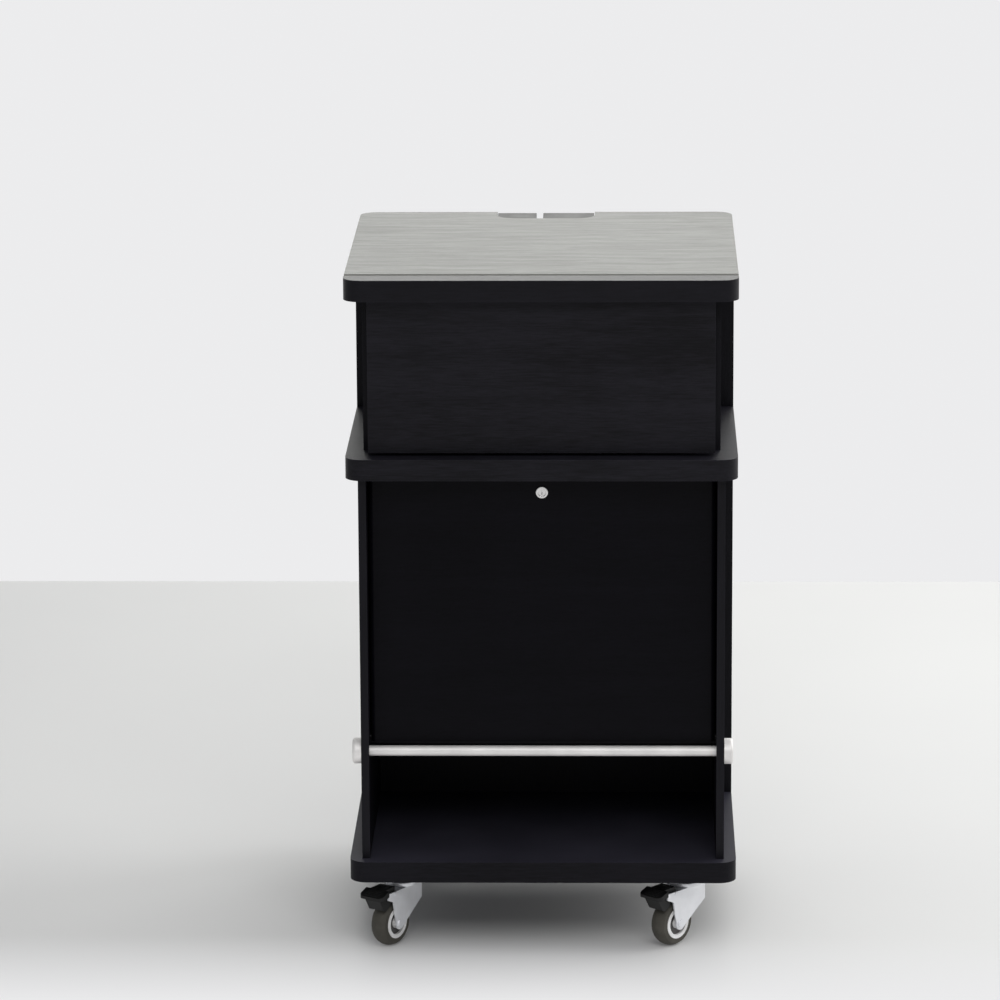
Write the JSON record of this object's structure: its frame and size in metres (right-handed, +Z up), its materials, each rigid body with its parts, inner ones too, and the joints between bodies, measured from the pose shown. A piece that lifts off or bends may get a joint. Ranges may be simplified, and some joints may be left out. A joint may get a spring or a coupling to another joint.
{
  "type": "lectern podium",
  "caption": "Mobile lectern podium with a flat desk top, a drawer, a lockable drop-down flap over a cabinet, a foot rail, a rear cable shaft and braked swivel castors.",
  "frame": {"origin": "on the floor under the centre of the desk top", "axes": "+Z up, +X to the speaker's right, the speaker stands at -Y and faces +Y"},
  "size_m": [0.6, 0.58, 1.07],
  "materials": {
    "desktop": "fine-grained dark grey-black surface with a satin seal",
    "board": "black-stained veneer, satin",
    "panel": "black-stained veneer, satin",
    "flap": "smooth black lacquer, satin",
    "drawer_box": "dark grey melamine board, matt",
    "stainless": "satin stainless steel",
    "zinc": "bright zinc-plated steel",
    "nickel": "polished nickel",
    "black_steel": "black powder coat",
    "black_plastic": "moulded black nylon, fine texture",
    "rim_plastic": "light grey nylon, semi-gloss",
    "guard_plastic": "dark grey moulded plastic",
    "tyre_rubber": "grey-brown thermoplastic rubber, matt"
  },
  "bodies": {
    "cabinet": {"top_panel": "desktop", "cable_flap": "black_plastic", "middle_shelf": "board", "bottom_shelf": "board", "upper_side_left": "panel", "upper_side_right": "panel", "upper_back": "panel", "lower_side_left": "panel", "lower_side_right": "panel", "lower_back": "panel", "shaft_lower_left": "panel", "shaft_lower_right": "panel", "shaft_upper_left": "panel", "shaft_upper_right": "panel", "rear_cover_lower": "panel", "rear_cover_upper": "panel", "cabinet_floor": "panel", "runner_rails": "zinc", "door_pins": "black_steel", "strike_plate": "zinc", "foot_rail": "stainless", "rail_caps": "stainless", "rail_screws": "stainless", "castor_plates": "black_steel", "castor_screws": "zinc", "cover_screws": "black_steel"},
    "drawer": {"drawer_front": "board", "drawer_side_left": "drawer_box", "drawer_side_right": "drawer_box", "drawer_back": "drawer_box", "drawer_base": "drawer_box", "runner_slides": "zinc"},
    "door": {"door_flap": "flap", "lock_body": "nickel", "lock_nut": "zinc"},
    "lock_core": {"lock_cylinder": "nickel", "lock_cam": "zinc"},
    "swivel_front_left": {"fork_front_left": "zinc", "axle_front_left": "zinc"},
    "wheel_front_left": {"rim_front_left": "rim_plastic", "guards_front_left": "guard_plastic", "tyre_front_left": "tyre_rubber"},
    "brake_left": {"pedal_left": "black_plastic"},
    "swivel_front_right": {"fork_front_right": "zinc", "axle_front_right": "zinc"},
    "wheel_front_right": {"rim_front_right": "rim_plastic", "guards_front_right": "guard_plastic", "tyre_front_right": "tyre_rubber"},
    "brake_right": {"pedal_right": "black_plastic"},
    "swivel_rear_left": {"fork_rear_left": "zinc", "axle_rear_left": "zinc"},
    "wheel_rear_left": {"rim_rear_left": "rim_plastic", "guards_rear_left": "guard_plastic", "tyre_rear_left": "tyre_rubber"},
    "swivel_rear_right": {"fork_rear_right": "zinc", "axle_rear_right": "zinc"},
    "wheel_rear_right": {"rim_rear_right": "rim_plastic", "guards_rear_right": "guard_plastic", "tyre_rear_right": "tyre_rubber"}
  },
  "joints": [
    {"name": "drawer_slide", "type": "slide", "parent": "cabinet", "child": "drawer", "axis": [0, -1, 0], "range_m": [0, 0.24]},
    {"name": "door_fold", "type": "hinge", "parent": "cabinet", "child": "door", "pos_m": [0, -0.228, 0.337], "axis": [1, 0, 0], "range_deg": [0, 90]},
    {"name": "lock_turn", "type": "hinge", "parent": "door", "child": "lock_core", "pos_m": [0, -0.236, 0.729], "axis": [0, -1, 0], "range_deg": [0, 90]},
    {"name": "castor_swivel_front_left", "type": "hinge", "parent": "cabinet", "child": "swivel_front_left", "pos_m": [-0.222, -0.208, 0.1], "axis": [0, 0, 1], "continuous": true},
    {"name": "wheel_spin_front_left", "type": "hinge", "parent": "swivel_front_left", "child": "wheel_front_left", "pos_m": [-0.23997, -0.23568, 0.0375], "axis": [0.8387, -0.5446, 0], "continuous": true},
    {"name": "brake_press_left", "type": "hinge", "parent": "swivel_front_left", "child": "brake_left", "pos_m": [-0.24596, -0.2449, 0.088], "axis": [-0.8387, 0.5446, 0], "range_deg": [0, 12]},
    {"name": "castor_swivel_front_right", "type": "hinge", "parent": "cabinet", "child": "swivel_front_right", "pos_m": [0.222, -0.208, 0.1], "axis": [0, 0, 1], "continuous": true},
    {"name": "wheel_spin_front_right", "type": "hinge", "parent": "swivel_front_right", "child": "wheel_front_right", "pos_m": [0.20035, -0.23291, 0.0375], "axis": [0.7547, -0.6561, 0], "continuous": true},
    {"name": "brake_press_right", "type": "hinge", "parent": "swivel_front_right", "child": "brake_right", "pos_m": [0.19313, -0.24121, 0.088], "axis": [-0.7547, 0.6561, 0], "range_deg": [0, 12]},
    {"name": "castor_swivel_rear_left", "type": "hinge", "parent": "cabinet", "child": "swivel_rear_left", "pos_m": [-0.222, 0.208, 0.1], "axis": [0, 0, 1], "continuous": true},
    {"name": "wheel_spin_rear_left", "type": "hinge", "parent": "swivel_rear_left", "child": "wheel_rear_left", "pos_m": [-0.23542, 0.17785, 0.0375], "axis": [0.9135, -0.4067, 0], "continuous": true},
    {"name": "castor_swivel_rear_right", "type": "hinge", "parent": "cabinet", "child": "swivel_rear_right", "pos_m": [0.222, 0.208, 0.1], "axis": [0, 0, 1], "continuous": true},
    {"name": "wheel_spin_rear_right", "type": "hinge", "parent": "swivel_rear_right", "child": "wheel_rear_right", "pos_m": [0.20168, 0.182, 0.0375], "axis": [0.788, -0.6157, 0], "continuous": true}
  ]
}
